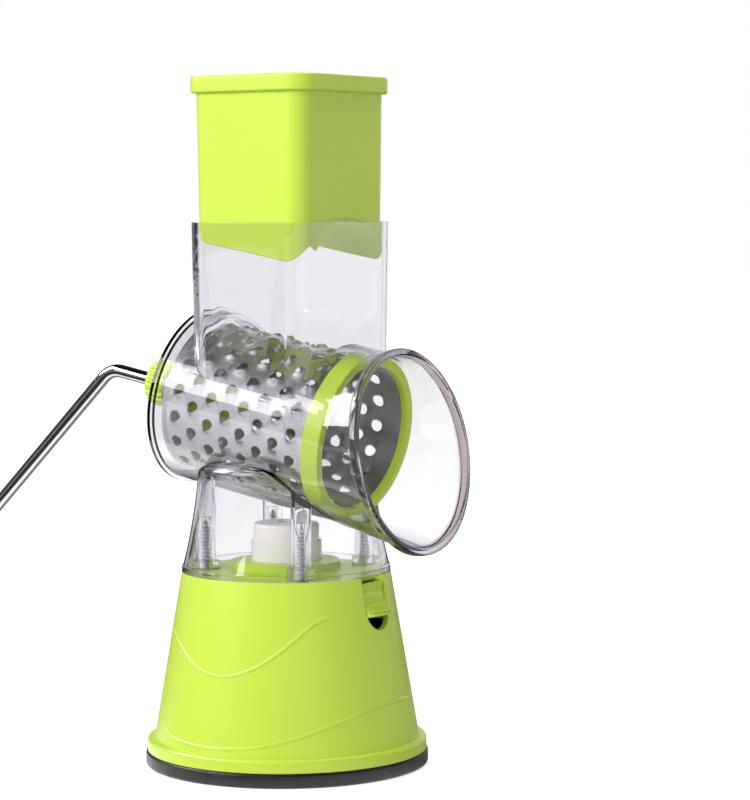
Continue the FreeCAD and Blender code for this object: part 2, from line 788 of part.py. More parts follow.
def rivet_places():
    places = []
    for step in range(rivet_count):
        angle = math.radians(rivet_turn + step * 360.0 / rivet_count)
        places.append((rivet_circle * math.cos(angle), rivet_circle * math.sin(angle)))
    return places


def drum_end_plate():
    plate = tube(drum_bore, hub_journal_radius, drum_back, hub_front)
    skirt = tube(drum_bore, drum_bore - end_plate_thickness, hub_front, hub_front + end_plate_skirt)
    plate = plate.fuse(skirt)
    for x, y in rivet_places():
        plate = plate.cut(cylinder(rivet_radius, drum_back - past, hub_front + past, x, y))
    return on_axis(plate.removeSplitter())


def hex_bar(corner, low, high):
    corners = []
    for step in range(7):
        angle = math.radians(60 * step)
        corners.append(Vector(corner * math.cos(angle), corner * math.sin(angle), low))
    return Part.Face(Part.makePolygon(corners)).extrude(Vector(0, 0, high - low))


def drum_hub():
    journal = cylinder(hub_journal_radius, barrel_back + moving_gap, hub_front)
    flange = cylinder(hub_flange_radius, hub_front, hub_front + hub_flange)
    boss = cylinder(hub_boss_radius, hub_front, hub_end)
    hub = journal.fuse(flange).fuse(boss)
    hub = hub.cut(cylinder(rod_radius, barrel_back - past, rod_inner_end))
    hub = hub.cut(hex_bar(nut_corner, nut_low, nut_low + nut_length))
    for x, y in rivet_places():
        hub = hub.cut(cylinder(rivet_radius, hub_front - past, hub_front + hub_flange + past, x, y))
    return on_axis(hub.removeSplitter())


def drive_nut():
    nut = hex_bar(nut_corner, nut_low, nut_low + nut_length)
    return on_axis(nut.cut(cylinder(rod_radius, nut_low - past, nut_low + nut_length + past)))


def hub_rivets():
    high = hub_front + hub_flange
    rivets = []
    for x, y in rivet_places():
        shank = cylinder(rivet_radius, drum_back, high, x, y)
        head = cylinder(rivet_head, high, high + rivet_head_height, x, y)
        rivets.append(on_axis(shank.fuse(head).removeSplitter()))
    return Part.makeCompound(rivets)


# ---- Crank ---------------------------------------------------------------------------------------
def crank_rod():
    """A bent rod: shaft, leaning arm and a stub that carries the grip."""
    corners = [(0, rod_inner_end), (0, rod_corner), (crank_reach, grip_corner), (crank_reach, rod_end)]
    points = [Vector(x, 0, z) for x, z in corners]
    edges = []
    start = points[0]
    for before, corner, after in zip(points, points[1:], points[2:]):
        inward = (corner - before).normalize()
        outward = (after - corner).normalize()
        turn = inward.getAngle(outward)
        reach = rod_bend * math.tan(turn / 2)
        first = corner - inward * reach
        last = corner + outward * reach
        bisector = (outward - inward).normalize()
        centre = corner + bisector * (rod_bend / math.cos(turn / 2))
        edges.append(Part.makeLine(start, first))
        edges.append(Part.Arc(first, centre - bisector * rod_bend, last).toShape())
        start = last
    edges.append(Part.makeLine(start, points[-1]))
    section = Part.Wire([Part.makeCircle(rod_radius, points[0], up)])
    return on_axis(Part.Wire(edges).makePipeShell([section], True, False))


def crank_knob():
    """A fluted knob pressed on the rod, which locks the crank against the neck."""
    front = neck_end - moving_gap
    back = front - knob_length
    low = back - knob_collar
    knob = cylinder(knob_radius, back, front)
    knob = knob.makeFillet(knob_round, circles(knob))
    flutes = []
    for step in range(knob_flutes):
        angle = math.radians(step * 360.0 / knob_flutes)
        flutes.append(cylinder(knob_flute_radius, back - past, front + past,
                               knob_radius * math.cos(angle), knob_radius * math.sin(angle)))
    knob = knob.cut(Part.makeCompound(flutes))
    knob = knob.fuse(cylinder(rod_radius + knob_collar_wall, low, back + lap))
    return on_axis(knob.cut(cylinder(rod_radius, low - past, front + past)).removeSplitter())


def crank_grip():
    points = [
        Vector(grip_end_radius, 0, grip_end),
        Vector(grip_belly_radius, 0, grip_end + grip_belly_share * grip_length),
        Vector(grip_waist_radius, 0, grip_end + grip_waist_share * grip_length),
        Vector(grip_end_radius, 0, grip_start),
    ]
    start_centre = Vector(0, 0, grip_start)
    end_centre = Vector(0, 0, grip_end)
    curve = Part.BSplineCurve()
    curve.interpolate(points)
    grip = revolved([
        curve.toShape(), Part.makeLine(points[-1], start_centre),
        Part.makeLine(start_centre, end_centre), Part.makeLine(end_centre, points[0]),
    ])
    grip = grip.makeFillet(grip_end_round, circles(grip, radius=grip_end_radius))
    grip = grip.cut(cylinder(rod_radius + running_gap, grip_end - past, grip_start + past))
    return at_grip(grip.cut(cylinder(grip_pocket_radius, grip_end - past, grip_end + grip_pocket)))


def grip_clip():
    """A push-on washer that keeps the grip on the rod."""
    return at_grip(tube(grip_pocket_radius - clip_gap, rod_radius, clip_low, clip_high))


def grip_plug():
    plug = cylinder(grip_pocket_radius, grip_end - plug_proud, grip_end + plug_thickness)
    return at_grip(plug.makeFillet(plug_round, circles(plug, below=grip_end - plug_proud)))


# ---- Pusher --------------------------------------------------------------------------------------
def pusher():
    """Built where it is fully down, then raised to where it rests."""
    seat = hopper_rim + moving_gap
    top = seat + pusher_rim_height
    inset = hopper_wall + pusher_gap
    rim = rounded_prism(0, seat, top, 0, 0)
    rim = rim.makeFillet(pusher_rim_round, [e for e in rim.Edges if e.BoundBox.ZLength < near])
    sweep = drum_radius + pusher_drum_gap
    reach = 2 * (flare_start - barrel_back)
    scoop = on_axis(cylinder(sweep, -reach, reach))
    floor = on_axis(cylinder(sweep + pusher_wall, -reach, reach))
    body = rounded_prism(inset, axis_height, seat + lap, pusher_draft, 0).cut(scoop).fuse(rim)
    hollow = rounded_prism(inset + pusher_wall, axis_height, top + past, pusher_draft, 0).cut(floor)
    body = body.cut(hollow)
    body.translate(Vector(0, 0, pusher_raise))
    return body.removeSplitter()


pieces = [
    suction_cup, base_shell, cup_stem, cup_spring, thrust_ring, guide_collar, lift_cap, cap_screw,
    suction_lever, lever_pin, clear_body, body_screws, neck_bush, drum_shell, drum_ring,
    drum_end_plate, drum_hub, drive_nut, hub_rivets, crank_rod, crank_knob, crank_grip, grip_clip,
    grip_plug, pusher,
]

os.makedirs("parts", exist_ok=True)
for make in pieces:
    save(make.__name__, make())
print("stem travel %.3f mm" % lift_travel)
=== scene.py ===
import bmesh
import bpy
import json
import math
from mathutils import Matrix, Vector


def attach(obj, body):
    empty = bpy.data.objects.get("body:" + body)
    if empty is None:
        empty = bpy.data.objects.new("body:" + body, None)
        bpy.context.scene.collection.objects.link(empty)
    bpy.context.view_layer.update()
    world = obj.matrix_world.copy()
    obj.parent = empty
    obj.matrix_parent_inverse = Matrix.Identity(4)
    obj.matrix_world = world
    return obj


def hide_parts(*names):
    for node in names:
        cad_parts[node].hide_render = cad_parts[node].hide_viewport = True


# Hand cranked drum shredder on a suction base. Everything is in metres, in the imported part's frame:
# +Z up, the drum's axis in the XZ plane and tipped down towards +X, where the shreds fall out.

mm = 0.001
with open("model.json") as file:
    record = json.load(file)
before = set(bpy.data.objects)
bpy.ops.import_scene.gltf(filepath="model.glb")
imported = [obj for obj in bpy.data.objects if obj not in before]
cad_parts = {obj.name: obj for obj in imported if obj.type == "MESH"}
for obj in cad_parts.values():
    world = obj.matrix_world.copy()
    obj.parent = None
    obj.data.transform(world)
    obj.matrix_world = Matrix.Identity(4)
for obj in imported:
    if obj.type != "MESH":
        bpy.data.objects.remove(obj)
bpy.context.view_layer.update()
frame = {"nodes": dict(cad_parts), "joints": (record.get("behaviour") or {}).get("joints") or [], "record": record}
nodes = frame["nodes"]
record = frame["record"]
bodyOf = {node: body for body, members in record["behaviour"]["bodies"].items() for node in members}
slotOf = {row["node"]: row["material_slot"] for row in record["subparts"]}
spin = next(joint for joint in frame["joints"] if joint["name"] == "drum_spin")
axisWay = Vector(spin["axis"]).normalized()
acrossWay = Vector((0, 1, 0))
drumFrame = Matrix((acrossWay.cross(axisWay), acrossWay, axisWay)).transposed().to_4x4()
drumFrame.translation = Vector(spin["pos_m"])               # Z is the drum's axis, X points down
print("frame loaded:", len(nodes), "nodes")


def hexColour(text):
    channels = [int(text[i:i + 2], 16) / 255 for i in (1, 3, 5)]
    return (*[c / 12.92 if c <= 0.04045 else ((c + 0.055) / 1.055) ** 2.4 for c in channels], 1.0)


# One node with its settings and links. An input goes by its identifier, or by its name with _ for a
# space, and a node given as a value is linked by its first live output.
def addNode(tree, kind, settings=None, **inputs):
    node = tree.nodes.new(kind)
    for name, value in (settings or {}).items():
        setattr(node, name, value)
    for name, value in inputs.items():
        byKey = [socket for socket in node.inputs if socket.identifier == name]
        socket = byKey[0] if byKey else node.inputs[name.replace("_", " ")]
        if isinstance(value, bpy.types.Node):
            value = next(output for output in value.outputs if output.enabled)
        if isinstance(value, bpy.types.NodeSocket):
            tree.links.new(value, socket)
        else:
            socket.default_value = value
    return node


smooth = {"interpolation_type": "SMOOTHSTEP"}               # a ramp with soft ends
inColour = {"data_type": "RGBA"}                            # a mix of two colours
multiply, divide = {"operation": "MULTIPLY"}, {"operation": "DIVIDE"}
modulo, greater = {"operation": "MODULO"}, {"operation": "GREATER_THAN"}
noiseLow, noiseHigh = 0.35, 0.65                            # most of a noise lies between these


def newMaterial(name):
    material = bpy.data.materials.new(name)
    material.use_nodes = True
    material.node_tree.nodes.clear()
    return material, material.node_tree


absLook = {
    "lime": "#C9E54A", "limeDeep": "#C5E146", "flow": 60 * mm,
    "satin": (0.285, 0.335), "satinSpan": (0.2, 0.8), "wear": 24 * mm,
    "peel": 2.6 * mm, "peelDepth": 0.06, "edge": 0.35 * mm, "glow": 0.05, "glowDepth": 1.0 * mm,
}


# Injection moulded ABS: an even colour that hardly shifts, and fine orange peel that breaks up its
# gloss.
def mouldedAbs():
    material, tree = newMaterial("limeMouldedAbs")
    place = addNode(tree, "ShaderNodeTexCoord").outputs["Object"]
    flow = addNode(tree, "ShaderNodeTexNoise", Vector=place, Scale=1 / absLook["flow"], Detail=3.0)
    colour = addNode(tree, "ShaderNodeMix", inColour, Factor_Float=flow,
                     A_Color=hexColour(absLook["lime"]), B_Color=hexColour(absLook["limeDeep"]))
    edge = addNode(tree, "ShaderNodeBevel", {"samples": 4}, Radius=absLook["edge"])
    peel = addNode(tree, "ShaderNodeTexNoise", Vector=place, Scale=1 / absLook["peel"])
    bump = addNode(tree, "ShaderNodeBump", Strength=absLook["peelDepth"], Distance=0.02 * mm,
                   Height=peel, Normal=edge)
    wear = addNode(tree, "ShaderNodeTexNoise", Vector=place, Scale=1 / absLook["wear"], Detail=1.0)
    gloss = addNode(tree, "ShaderNodeMapRange", {"clamp": False}, Value=wear,
                    From_Min=absLook["satinSpan"][0], From_Max=absLook["satinSpan"][1],
                    To_Min=absLook["satin"][0], To_Max=absLook["satin"][1])
    shader = addNode(tree, "ShaderNodeBsdfPrincipled", Base_Color=colour, Roughness=gloss,
                     Normal=bump, IOR=1.53, Subsurface_Weight=absLook["glow"],
                     Subsurface_Radius=(1.0, 1.2, 0.3), Subsurface_Scale=absLook["glowDepth"])
    addNode(tree, "ShaderNodeOutputMaterial", Surface=shader)
    return material


clearLook = {
    # the edge and rim colours are painted shade, for walls seen nearly edge on
    "face": "#FBFAFC", "edge": "#A3A2B4", "rim": "#2A2A40", "lets": "#F7F7FA",
    "paleShadeSpan": (0.45, 0.85), "darkShadeSpan": (0.66, 0.94),   # a wall darkens as it turns away
    "absorb": "#A6A6BE", "density": 30.0, "sink": 22 * mm, "sinkDepth": 0.12, "corner": 0.35 * mm,
    "wear": 30 * mm, "rough": (0.005, 0.03),
    "lip": "#BDB0B7", "lipDepth": 3.6 * mm, "lipBlend": 0.4 * mm,
    "mouthPlace": 68.2 * mm, "mouthLean": 20.45,            # the mouth's plane on the drum's axis
}


# Clear moulded SAN: hard and polished, with slight sink marks; where a wall turns away from the view
# its colour is darkened to blue grey as painted shade for the dark room seen back inside the wall,
# and the bead round the mouth is coloured a darker purple grey.
def clearSan():
    material, tree = newMaterial("clearMouldedSan")
    place = addNode(tree, "ShaderNodeTexCoord").outputs["Object"]
    sink = addNode(tree, "ShaderNodeTexNoise", Vector=place, Scale=1 / clearLook["sink"],
                   Detail=1.0)
    edge = addNode(tree, "ShaderNodeBevel", {"samples": 6}, Radius=clearLook["corner"])
    bump = addNode(tree, "ShaderNodeBump", Strength=clearLook["sinkDepth"], Distance=0.06 * mm,
                   Height=sink, Normal=edge)
    # painted shade: the colour darkens to blue grey, then near black, where the wall turns away from the view
    facing = addNode(tree, "ShaderNodeLayerWeight", Blend=0.5).outputs["Facing"]
    soft = addNode(tree, "ShaderNodeMapRange", smooth, Value=facing,
                   From_Min=clearLook["paleShadeSpan"][0], From_Max=clearLook["paleShadeSpan"][1])
    hard = addNode(tree, "ShaderNodeMapRange", smooth, Value=facing,
                   From_Min=clearLook["darkShadeSpan"][0], From_Max=clearLook["darkShadeSpan"][1])
    pale = addNode(tree, "ShaderNodeMix", inColour, Factor_Float=soft,
                   A_Color=hexColour(clearLook["face"]), B_Color=hexColour(clearLook["edge"]))
    dark = addNode(tree, "ShaderNodeMix", inColour, Factor_Float=hard, A_Color=pale,
                   B_Color=hexColour(clearLook["rim"]))
    lean = math.radians(clearLook["mouthLean"])
    outwards = drumFrame.to_3x3() @ Vector((-math.sin(lean), 0, math.cos(lean)))
    fromMouth = addNode(tree, "ShaderNodeVectorMath", {"operation": "SUBTRACT"}, Vector=place,
                        Vector_001=drumFrame @ Vector((0, 0, clearLook["mouthPlace"])))
    past = addNode(tree, "ShaderNodeVectorMath", {"operation": "DOT_PRODUCT"}, Vector=fromMouth,
                   Vector_001=outwards).outputs["Value"]
    onLip = addNode(tree, "ShaderNodeMapRange", Value=past,
                    From_Min=-clearLook["lipDepth"] - clearLook["lipBlend"],
                    From_Max=-clearLook["lipDepth"] + clearLook["lipBlend"])
    colour = addNode(tree, "ShaderNodeMix", {"data_type": "RGBA", "blend_type": "MULTIPLY"},
                     Factor_Float=onLip, A_Color=dark, B_Color=hexColour(clearLook["lip"]))
    wear = addNode(tree, "ShaderNodeTexNoise", Vector=place, Scale=1 / clearLook["wear"],
                   Detail=3.0)
    wipe = addNode(tree, "ShaderNodeMapRange", Value=wear, From_Min=noiseLow, From_Max=noiseHigh,
                   To_Min=clearLook["rough"][0], To_Max=clearLook["rough"][1])
    shader = addNode(tree, "ShaderNodeBsdfPrincipled", Base_Color=colour, Roughness=wipe,
                     Normal=bump, IOR=1.57, Transmission_Weight=1.0)
    # lamplight goes straight through to what stands behind the wall
    straight = addNode(tree, "ShaderNodeBsdfTransparent", Color=hexColour(clearLook["lets"]))
    path = addNode(tree, "ShaderNodeLightPath").outputs
    lit = addNode(tree, "ShaderNodeMath", {"operation": "MAXIMUM"}, Value=path["Is Shadow Ray"],
                  Value_001=path["Is Diffuse Ray"])
    both = addNode(tree, "ShaderNodeMixShader", Fac=lit, Shader=shader, Shader_001=straight)
    volume = addNode(tree, "ShaderNodeVolumeAbsorption", Color=hexColour(clearLook["absorb"]),
                     Density=clearLook["density"])
    addNode(tree, "ShaderNodeOutputMaterial", Surface=both, Volume=volume)
    return material


rubberLook = {
    "black": "#141112", "bloom": "#1F1B1B", "bloomSize": 26 * mm,
    "tooled": 0.6 * mm, "tooledDepth": 0.35, "rub": 9 * mm, "rough": (0.34, 0.46), "shine": 0.4,
}


# Moulded rubber: warm black with a grey bloom and a satin tool texture, coarse enough to show.
def mouldedRubber():
    material, tree = newMaterial("blackMouldedRubber")
    place = addNode(tree, "ShaderNodeTexCoord").outputs["Object"]
    bloom = addNode(tree, "ShaderNodeTexNoise", Vector=place, Scale=1 / rubberLook["bloomSize"],
                    Detail=5.0, Roughness=0.65)
    amount = addNode(tree, "ShaderNodeMapRange", Value=bloom, From_Min=noiseLow, From_Max=noiseHigh)
    colour = addNode(tree, "ShaderNodeMix", inColour, Factor_Float=amount,
                     A_Color=hexColour(rubberLook["black"]), B_Color=hexColour(rubberLook["bloom"]))
    tooled = addNode(tree, "ShaderNodeTexNoise", Vector=place, Scale=1 / rubberLook["tooled"])
    bump = addNode(tree, "ShaderNodeBump", Strength=rubberLook["tooledDepth"], Distance=0.03 * mm,
                   Height=tooled)
    rub = addNode(tree, "ShaderNodeTexNoise", Vector=place, Scale=1 / rubberLook["rub"], Detail=3.0)
    gloss = addNode(tree, "ShaderNodeMapRange", Value=rub, From_Min=noiseLow, From_Max=noiseHigh,
                    To_Min=rubberLook["rough"][0], To_Max=rubberLook["rough"][1])
    shader = addNode(tree, "ShaderNodeBsdfPrincipled", Base_Color=colour, Normal=bump, IOR=1.52,
                     Roughness=gloss, Specular_IOR_Level=rubberLook["shine"])
    addNode(tree, "ShaderNodeOutputMaterial", Surface=shader)
    return material


nylonLook = {
    "cream": "#FFF9F4", "shade": "#F8F1EB", "cloud": 12 * mm, "edge": 0.3 * mm, "tooled": 0.7 * mm,
    "tooledDepth": 0.18, "rub": 5 * mm, "rough": (0.38, 0.46), "glow": 0.15, "glowDepth": 1.5 * mm,
}


# Moulded nylon: creamy white, satin, a little see-through in its first millimetre.
def mouldedNylon():
    material, tree = newMaterial("creamMouldedNylon")
    place = addNode(tree, "ShaderNodeTexCoord").outputs["Object"]
    cloud = addNode(tree, "ShaderNodeTexNoise", Vector=place, Scale=1 / nylonLook["cloud"],
                    Detail=3.0)
    colour = addNode(tree, "ShaderNodeMix", inColour, Factor_Float=cloud,
                     A_Color=hexColour(nylonLook["cream"]), B_Color=hexColour(nylonLook["shade"]))
    edge = addNode(tree, "ShaderNodeBevel", {"samples": 4}, Radius=nylonLook["edge"])
    tooled = addNode(tree, "ShaderNodeTexNoise", Vector=place, Scale=1 / nylonLook["tooled"])
    bump = addNode(tree, "ShaderNodeBump", Strength=nylonLook["tooledDepth"], Distance=0.02 * mm,
                   Height=tooled, Normal=edge)
    rub = addNode(tree, "ShaderNodeTexNoise", Vector=place, Scale=1 / nylonLook["rub"])
    gloss = addNode(tree, "ShaderNodeMapRange", Value=rub, From_Min=noiseLow, From_Max=noiseHigh,
                    To_Min=nylonLook["rough"][0], To_Max=nylonLook["rough"][1])
    shader = addNode(tree, "ShaderNodeBsdfPrincipled", Base_Color=colour, Normal=bump, IOR=1.53,
                     Roughness=gloss, Subsurface_Weight=nylonLook["glow"],
                     Subsurface_Radius=(1.0, 0.9, 0.7), Subsurface_Scale=nylonLook["glowDepth"])
    addNode(tree, "ShaderNodeOutputMaterial", Surface=shader)
    return material


metalCloud = 11 * mm                                        # size of the slightly duller patches
metalEdge = 0.12 * mm                                       # how round an edge is
metalLooks = {
    # rolled stainless sheet: faint fine lines along the rolling, pale grey and half bright
    "rolledStainless": {"colour": "#CBCBCD", "dull": "#BFBFC2", "rough": (0.22, 0.265),
                        "line": 0.35 * mm, "stretch": (0.05, 1.0, 1.0), "depth": 0.09},
    # bright chrome on a drawn rod: nearly a mirror, with hair scratches
    "chromedRod": {"colour": "#C9C8CB", "dull": "#BDBCC1", "rough": (0.045, 0.09), "line": 1.4 * mm,
                   "stretch": (1.0, 1.0, 1.0), "depth": 0.06},
    # zinc plated steel: pale grey with a faint mottle
    "zincPlate": {"colour": "#CFD1D6", "dull": "#BBBDC3", "rough": (0.29, 0.40), "line": 0.9 * mm,
                  "stretch": (1.0, 1.0, 1.0), "depth": 0.2},
    # turned brass: yellow, with fine tool rings
    "turnedBrass": {"colour": "#C9A354", "dull": "#B48C42", "rough": (0.2, 0.26), "line": 0.4 * mm,
                    "stretch": (1.0, 0.12, 0.12), "depth": 0.25},
}


def metal(name):
    look = metalLooks[name]
    material, tree = newMaterial(name)
    place = addNode(tree, "ShaderNodeTexCoord").outputs["Object"]
    stretched = addNode(tree, "ShaderNodeMapping", Vector=place, Scale=look["stretch"])
    lines = addNode(tree, "ShaderNodeTexNoise", Vector=stretched, Scale=1 / look["line"],
                    Detail=3.0)
    clouds = addNode(tree, "ShaderNodeTexNoise", Vector=place, Scale=1 / metalCloud, Detail=3.0)
    colour = addNode(tree, "ShaderNodeMix", inColour, Factor_Float=clouds,
                     A_Color=hexColour(look["colour"]), B_Color=hexColour(look["dull"]))
    edge = addNode(tree, "ShaderNodeBevel", {"samples": 4}, Radius=metalEdge)
    bump = addNode(tree, "ShaderNodeBump", Strength=look["depth"], Distance=0.01 * mm, Height=lines,
                   Normal=edge)
    gloss = addNode(tree, "ShaderNodeMapRange", Value=lines, From_Min=noiseLow, From_Max=noiseHigh,
                    To_Min=look["rough"][0], To_Max=look["rough"][1])
    shader = addNode(tree, "ShaderNodeBsdfPrincipled", Base_Color=colour, Roughness=gloss,
                     Normal=bump, Metallic=1.0)
    addNode(tree, "ShaderNodeOutputMaterial", Surface=shader)
    return material


materials = {
    "green_abs": mouldedAbs(), "clear_styrene": clearSan(), "black_rubber": mouldedRubber(),
    "white_nylon": mouldedNylon(), "stainless_sheet": metal("rolledStainless"),
    "chromed_rod": metal("chromedRod"), "zinc_steel": metal("zincPlate"),
    "brass": metal("turnedBrass"),
}
print("materials made:", len(materials))


def addPiece(name, mesh, body, slot, replaced=()):
    piece = bpy.data.objects.new(name, mesh)
    bpy.context.scene.collection.objects.link(piece)
    mesh.materials.clear()
    mesh.materials.append(materials[slot])
    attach(piece, body)
    if replaced:
        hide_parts(*replaced)
    return piece


def shadeByAngle(work, degrees):
    limit = math.radians(degrees)
    for face in work.faces:
        face.smooth = True
    for edge in work.edges:
        edge.smooth = edge.is_manifold and edge.calc_face_angle(0.0) < limit


# A node's own shape, merged and shaded smooth between its real edges.
def finishedNode(node, shape=None, degrees=30):
    mesh = nodes[node].data.copy()
    mesh.name = node + "Mesh"
    work = bmesh.new()
    work.from_mesh(mesh)
    bmesh.ops.remove_doubles(work, verts=work.verts, dist=0.002 * mm)
    if shape:
        shape(work)
    shadeByAngle(work, degrees)
    work.to_mesh(mesh)
    work.free()
    return addPiece(node + "_finished", mesh, bodyOf[node], slotOf[node], [node])


# The tree's result on a source mesh or curve, as a plain mesh.
def grown(source, tree, values, degrees=35):
    holder = bpy.data.objects.new("growing", source)
    bpy.context.scene.collection.objects.link(holder)
    modifier = holder.modifiers.new("grow", "NODES")
    modifier.node_group = tree
    sockets = {item.name: item.identifier for item in tree.interface.items_tree
               if item.item_type == "SOCKET"}
    for name, value in values.items():
        modifier[sockets[name]] = value
    ready = holder.evaluated_get(bpy.context.evaluated_depsgraph_get())
    mesh = bpy.data.meshes.new_from_object(ready)
    holder.modifiers.remove(modifier)
    bpy.data.objects.remove(holder)
    work = bmesh.new()
    work.from_mesh(mesh)
    shadeByAngle(work, degrees)
    work.to_mesh(mesh)
    work.free()
    return mesh


def newTree(name, inputs):
    tree = bpy.data.node_groups.new(name, "GeometryNodeTree")
    tree.interface.new_socket("Geometry", in_out="INPUT", socket_type="NodeSocketGeometry")
    for label, kind in inputs:
        tree.interface.new_socket(label, in_out="INPUT", socket_type=kind)
    tree.interface.new_socket("Geometry", in_out="OUTPUT", socket_type="NodeSocketGeometry")
    entry = tree.nodes.new("NodeGroupInput")
    return tree, entry.outputs


def closeTree(tree, geometry):
    whole = addNode(tree, "GeometryNodeRealizeInstances", Geometry=geometry)
    surfaced = addNode(tree, "GeometryNodeSetMaterial", Geometry=whole)
    tree.links.new(surfaced.outputs[0], tree.nodes.new("NodeGroupOutput").inputs[0])
    return surfaced


# Punched holes of the drum, each with a lip that is pushed out over one side as a cutting edge.
drum = {
    "outside": 33.5 * mm, "sheet": 0.7 * mm, "back": -42.2 * mm, "front": 40.2 * mm,
    "firstRing": -34.6 * mm, "ringPitch": 8.8 * mm, "rings": 8, "around": 18,
    "hole": 2.9 * mm, "lipRise": 1.5 * mm, "lipReach": 1.1 * mm, "lipTurn": 25.0, "lipPower": 1.4,
    "lipFace": 0.45 * mm, "root": (0.55 * mm, 1.1 * mm),    # how wide the lip is, where it runs out
    "shape": (1.0, 0.86, 0.34, 0.06),                       # of the lip's rise, going outwards
    "within": 0.97,                                         # of the way to the cell's edge at most
    "columns": 8, "rows": 4,                                # steps along the sides of a hole's cell
    "weld": 0.02 * mm, "smoothTo": 42,                      # degrees that are still shaded smooth
}


def drumCell():
    radius, columns, rows = drum["outside"], drum["columns"], drum["rows"]
    shape, root = drum["shape"], drum["root"]
    halfWidth = math.pi * radius / drum["around"]
    halfHeight = drum["ringPitch"] / 2
    border = [(-1 + 2 * i / columns, -1) for i in range(columns)]
    border += [(1, -1 + 2 * i / rows) for i in range(rows)]
    border += [(1 - 2 * i / columns, 1) for i in range(columns)]
    border += [(-1, 1 - 2 * i / rows) for i in range(rows)]
    rings = []
    for level in range(len(shape) + 1):                     # the last one is the cell's own edge
        ring = []
        for u, v in border:
            x, y = u * halfWidth, v * halfHeight
            angle = math.atan2(y, x)
            lip = max(0.0, math.cos(angle - math.radians(drum["lipTurn"]))) ** drum["lipPower"]
            hole = drum["hole"] - drum["lipReach"] * lip
            spot = (hole, hole + drum["lipFace"], drum["hole"] + root[0], drum["hole"] + root[1])
            height = 0.0
            if level < len(shape):
                far = min(spot[level], drum["within"] * math.hypot(x, y))
                x, y = far * math.cos(angle), far * math.sin(angle)
                height = drum["lipRise"] * lip * shape[level]
            turn = x / radius
            ring.append(((radius + height) * math.cos(turn), (radius + height) * math.sin(turn),
                         y + drum["firstRing"]))
        rings.append(ring)
    count = len(border)
    faces = []
    for near in range(0, count * len(shape), count):        # where a ring's points start
        far = near + count
        for i in range(count):
            j = (i + 1) % count
            faces.append((near + i, far + i, far + j, near + j))
    mesh = bpy.data.meshes.new("drumCell")
    mesh.from_pydata([point for ring in rings for point in ring], [], faces)
    return mesh


def drumTree():
    tree, given = newTree("punchedRings", [("Rings", "NodeSocketInt"), ("Around", "NodeSocketInt"),
                                           ("Pitch", "NodeSocketFloat")])
    total = addNode(tree, "ShaderNodeMath", multiply, Value=given["Rings"],
                    Value_001=given["Around"])
    index = addNode(tree, "GeometryNodeInputIndex")
    share = addNode(tree, "ShaderNodeMath", divide, Value=index, Value_001=given["Around"])
    ring = addNode(tree, "ShaderNodeMath", {"operation": "FLOOR"}, Value=share)
    step = addNode(tree, "ShaderNodeMath", modulo, Value=index, Value_001=given["Around"])
    odd = addNode(tree, "ShaderNodeMath", modulo, Value=ring, Value_001=2.0)
    stagger = addNode(tree, "ShaderNodeMath", {"operation": "MULTIPLY_ADD"}, Value=odd,
                      Value_001=0.5, Value_002=step)        # every other ring is half a step round
    column = addNode(tree, "ShaderNodeMath", divide, Value=2 * math.pi, Value_001=given["Around"])
    angle = addNode(tree, "ShaderNodeMath", multiply, Value=stagger, Value_001=column)
    height = addNode(tree, "ShaderNodeMath", multiply, Value=ring, Value_001=given["Pitch"])
    place = addNode(tree, "ShaderNodeCombineXYZ", Z=height)
    turn = addNode(tree, "FunctionNodeAxisAngleToRotation", Axis=(0, 0, 1), Angle=angle)
    points = addNode(tree, "GeometryNodePoints", Count=total, Position=place)
    turnKind = {"data_type": "QUATERNION"}
    keptTurn = addNode(tree, "GeometryNodeStoreNamedAttribute", {**turnKind, "domain": "POINT"},
                       Geometry=points, Name="turn", Value=turn)
    read = addNode(tree, "GeometryNodeInputNamedAttribute", turnKind, Name="turn")
    copies = addNode(tree, "GeometryNodeInstanceOnPoints", Points=keptTurn,
                     Instance=given["Geometry"], Rotation=read)
    closeTree(tree, copies)
    return tree


def makeDrum():
    mesh = grown(drumCell(), drumTree(), {"Rings": drum["rings"], "Around": drum["around"],
                                          "Pitch": drum["ringPitch"]})
    work = bmesh.new()
    work.from_mesh(mesh)
    radius, back, front = drum["outside"], drum["back"], drum["front"]
    steps = drum["around"] * drum["columns"]
    low = drum["firstRing"] - drum["ringPitch"] / 2
    high = low + drum["rings"] * drum["ringPitch"]
    angles = [2 * math.pi * i / steps for i in range(steps)]
    for levels in ((back, (back + low) / 2, low), (high, (high + front) / 2, front)):
        loops = [[work.verts.new((radius * math.cos(a), radius * math.sin(a), z)) for a in angles]
                 for z in levels]
        for under, over in zip(loops, loops[1:]):
            for i in range(steps):
                work.faces.new((under[i], under[(i + 1) % steps], over[(i + 1) % steps], over[i]))
    bmesh.ops.remove_doubles(work, verts=work.verts, dist=drum["weld"])
    bmesh.ops.recalc_face_normals(work, faces=work.faces)
    work.to_mesh(mesh)
    work.free()
    mesh.transform(drumFrame)
    holder = bpy.data.objects.new("sheet", mesh)
    bpy.context.scene.collection.objects.link(holder)
    wall = holder.modifiers.new("wall", "SOLIDIFY")
    wall.thickness = drum["sheet"]
    wall.offset = -1.0
    ready = holder.evaluated_get(bpy.context.evaluated_depsgraph_get())
    solid = bpy.data.meshes.new_from_object(ready)
    holder.modifiers.remove(wall)
    bpy.data.objects.remove(holder)
    work = bmesh.new()
    work.from_mesh(solid)
    shadeByAngle(work, drum["smoothTo"])
    work.to_mesh(solid)
    work.free()
    return addPiece("drum_sheet_punched", solid, bodyOf["drum_shell"], slotOf["drum_shell"],
                    ["drum_shell"])


